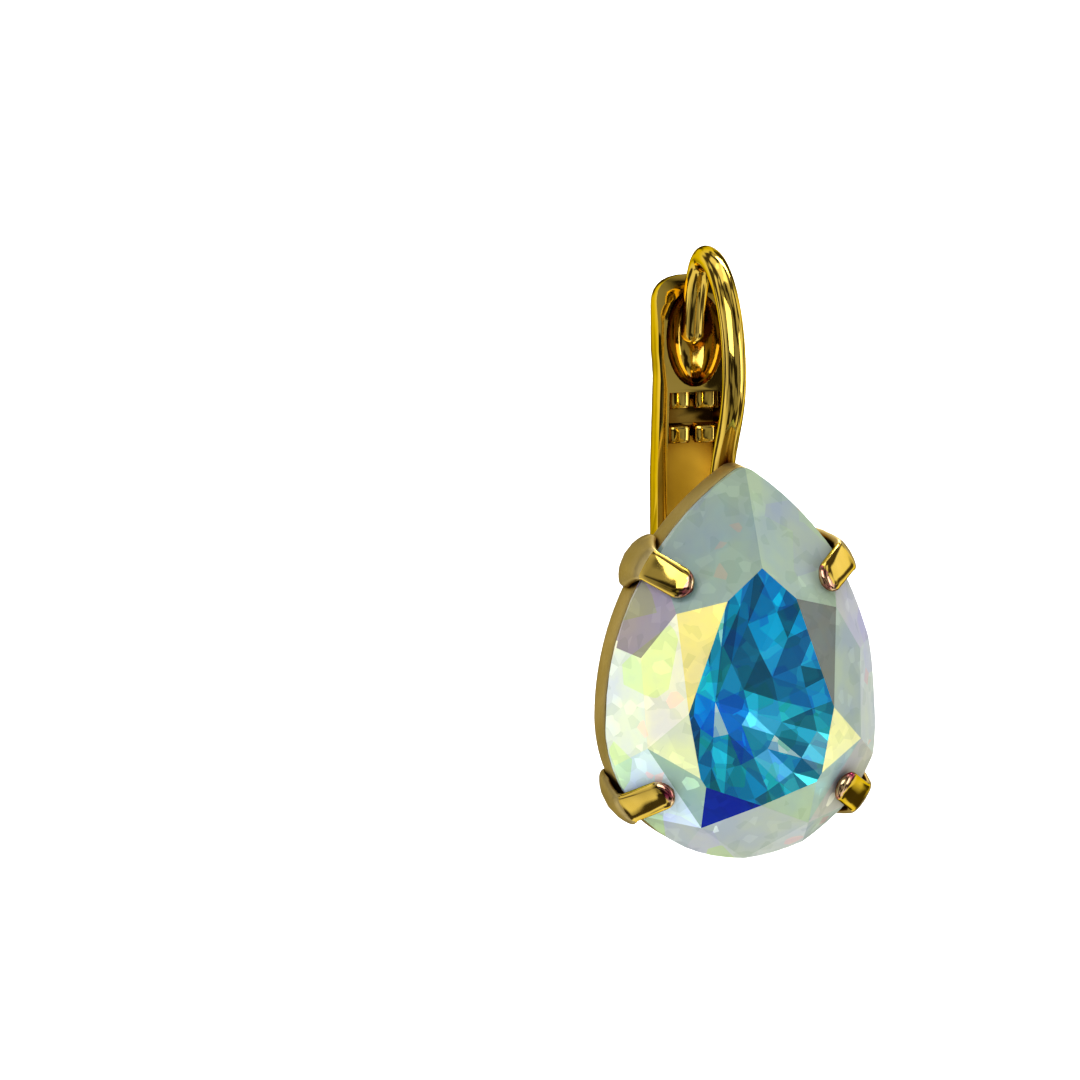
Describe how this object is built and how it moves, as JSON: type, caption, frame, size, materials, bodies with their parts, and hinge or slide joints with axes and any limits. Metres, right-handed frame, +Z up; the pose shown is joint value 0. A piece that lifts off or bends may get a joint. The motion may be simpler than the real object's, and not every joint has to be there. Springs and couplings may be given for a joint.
{
  "type": "leverback drop earring",
  "caption": "Leverback drop earring: a pear-cut coated crystal in a gold-tone pronged cup, hung from a round ear wire that snaps into a hinged lever behind the lobe",
  "frame": {"origin": "underside of the wire arch's crown, where the arch rests on the ear lobe", "axes": "+Z up as it hangs, the crystal faces -Y, the lever is at +Y, +X is the viewer's right"},
  "size_m": [0.01, 0.0096, 0.0215],
  "materials": {
    "coated_crystal": "polished facets with an iridescent coating over a reflecting back",
    "polished_gold": "polished gold plating, satin on the cup's wall"
  },
  "bodies": {
    "root": {"crystal": "coated_crystal", "setting": "polished_gold", "hinge_pin": "polished_gold"},
    "lever": {"lever": "polished_gold"}
  },
  "joints": [
    {"name": "lever_hinge", "type": "hinge", "parent": "root", "child": "lever", "pos_m": [0, 0.00209, -0.01078], "axis": [-1, 0, 0], "range_deg": [0, 55]}
  ]
}
